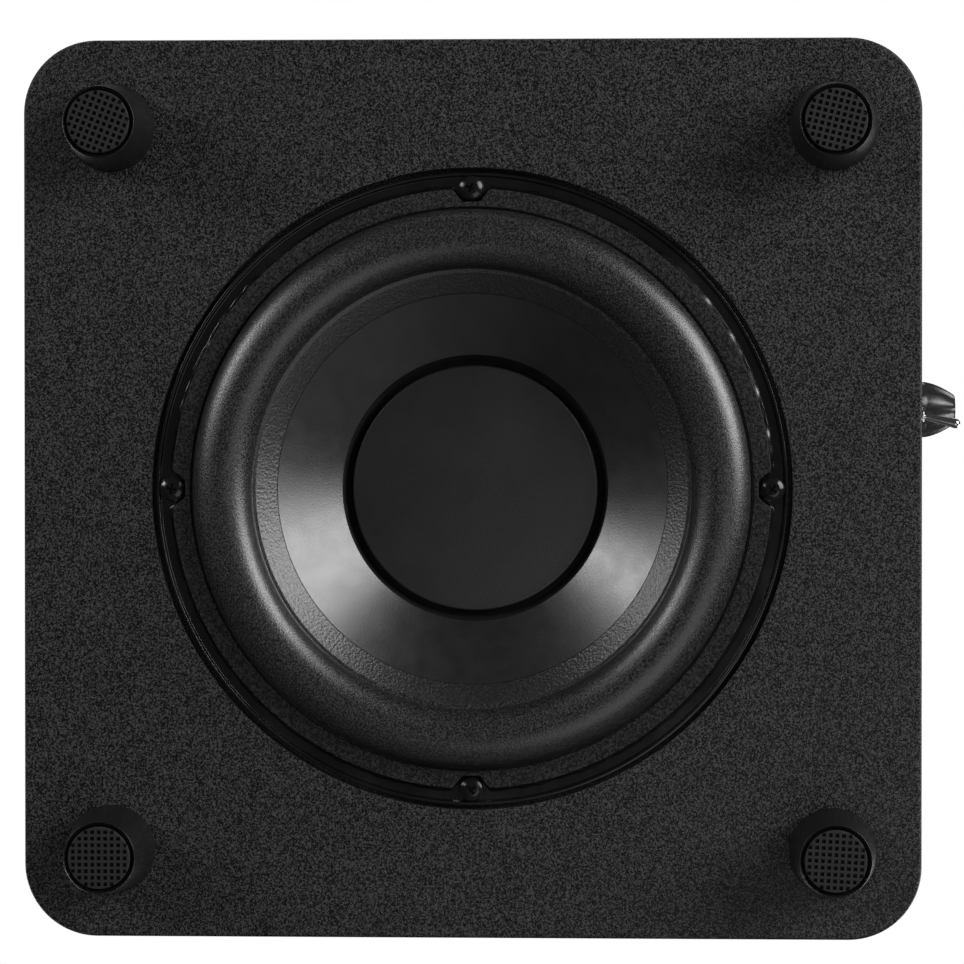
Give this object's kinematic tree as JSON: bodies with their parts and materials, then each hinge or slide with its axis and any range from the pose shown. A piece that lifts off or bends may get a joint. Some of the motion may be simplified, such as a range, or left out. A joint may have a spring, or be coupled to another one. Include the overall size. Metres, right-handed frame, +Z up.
{
  "type": "subwoofer",
  "caption": "Square rounded-corner powered subwoofer cabinet on tapered feet, with a down-firing cone driver underneath and an amplifier plate with knobs and switches on the rear.",
  "frame": {"origin": "on the floor plane, under the middle of the whole object's outer box, rear controls included", "axes": "+Z up from the feet to the top panel, -Y out of the front, +Y out of the rear amplifier plate, +X to the right seen from the front"},
  "size_m": [0.295, 0.3134, 0.32],
  "materials": {
    "cabinet_wrap": "fibreboard panels under a black fine-grained matt vinyl wrap",
    "wadding": "loose polyester wadding",
    "foot_plastic": "satin black moulded plastic with a polished rim",
    "pad_rubber": "matt black rubber with a square grip grid",
    "zinc_screw": "zinc plated",
    "black_screw": "black oxide steel",
    "foam_seal": "closed-cell black foam",
    "basket_steel": "pressed steel with gloss black paint",
    "trim_fibre": "matt black grained fibre",
    "surround_rubber": "semi-matt black rubber",
    "spider_cloth": "resin-dipped woven cotton",
    "plain_steel": "plated steel",
    "ferrite": "sintered ferrite",
    "phenolic": "brown phenolic board with tinned tags",
    "copper_braid": "braided copper tinsel",
    "cone_polymer": "satin black injection-moulded polypropylene",
    "cap_polymer": "satin black moulded polypropylene",
    "former_foil": "plain aluminium foil",
    "copper_winding": "enamelled copper wire",
    "plate_steel": "fine textured black powder coat",
    "circuit_board": "green solder mask",
    "transformer_iron": "varnished steel laminations",
    "cable_sleeve": "red insulated twin wire",
    "knob_plastic": "gloss black moulded plastic, ribbed",
    "switch_chrome": "polished nickel-chrome",
    "jack_metal": "nickel-plated barrel with an insulated centre",
    "switch_plastic": "moulded black thermoplastic",
    "lamp_lens": "tinted clear lens"
  },
  "bodies": {
    "cabinet": {"bottom_baffle": "cabinet_wrap", "cabinet_shell": "cabinet_wrap", "top_panel": "cabinet_wrap", "damping_wadding": "wadding", "foot_front_left": "foot_plastic", "foot_front_right": "foot_plastic", "foot_rear_left": "foot_plastic", "foot_rear_right": "foot_plastic", "foot_pad_front_left": "pad_rubber", "foot_pad_front_right": "pad_rubber", "foot_pad_rear_left": "pad_rubber", "foot_pad_rear_right": "pad_rubber", "foot_screw_front_left": "zinc_screw", "foot_screw_front_right": "zinc_screw", "foot_screw_rear_left": "zinc_screw", "foot_screw_rear_right": "zinc_screw", "driver_screw_right": "black_screw", "driver_screw_rear": "black_screw", "driver_screw_left": "black_screw", "driver_screw_front": "black_screw", "amp_screw_lower_left": "black_screw", "amp_screw_lower_right": "black_screw", "amp_screw_upper_left": "black_screw", "amp_screw_upper_right": "black_screw", "driver_gasket": "foam_seal", "amp_gasket": "foam_seal", "basket": "basket_steel", "surround_trim_ring": "trim_fibre", "surround": "surround_rubber", "spider": "spider_cloth", "magnet_front_plate": "plain_steel", "magnet_yoke": "plain_steel", "gain_pot": "plain_steel", "crossover_pot": "plain_steel", "magnet_ring": "ferrite", "terminal_strip": "phenolic", "tinsel_lead_plus": "copper_braid", "tinsel_lead_minus": "copper_braid", "amp_plate": "plate_steel", "amp_board": "circuit_board", "control_board": "circuit_board", "transformer": "transformer_iron", "speaker_lead": "cable_sleeve", "phase_switch_body": "switch_chrome", "phase_switch_nut": "switch_chrome", "input_jack_left": "jack_metal", "input_jack_right": "jack_metal", "mains_inlet": "switch_plastic", "power_switch_frame": "switch_plastic", "status_lamp": "lamp_lens"},
    "cone_assembly": {"cone": "cone_polymer", "dust_cap": "cap_polymer", "voice_coil_former": "former_foil", "voice_coil": "copper_winding"},
    "gain_control": {"gain_shaft": "plain_steel", "gain_knob": "knob_plastic"},
    "crossover_control": {"crossover_shaft": "plain_steel", "crossover_knob": "knob_plastic"},
    "phase_lever_body": {"phase_lever": "switch_chrome"},
    "power_rocker_body": {"power_rocker": "switch_plastic"}
  },
  "joints": [
    {"name": "cone_travel", "type": "slide", "parent": "cabinet", "child": "cone_assembly", "axis": [0, 0, 1], "range_m": [-0.006, 0.006], "stiffness_N_per_m": 1500, "deforming": ["surround", "spider", "tinsel_lead_plus", "tinsel_lead_minus"]},
    {"name": "gain_turn", "type": "hinge", "parent": "cabinet", "child": "gain_control", "pos_m": [0.0263, 0.14125, 0.183], "axis": [0, 1, 0], "range_deg": [-150, 150]},
    {"name": "crossover_turn", "type": "hinge", "parent": "cabinet", "child": "crossover_control", "pos_m": [0.0263, 0.14125, 0.145], "axis": [0, 1, 0], "range_deg": [-150, 150]},
    {"name": "phase_toggle", "type": "hinge", "parent": "cabinet", "child": "phase_lever_body", "pos_m": [0.0242, 0.14225, 0.115], "axis": [0, 0, -1], "range_deg": [0, 25]},
    {"name": "power_rock", "type": "hinge", "parent": "cabinet", "child": "power_rocker_body", "pos_m": [-0.042, 0.13945, 0.232], "axis": [-1, 0, 0], "range_deg": [0, 16]}
  ]
}
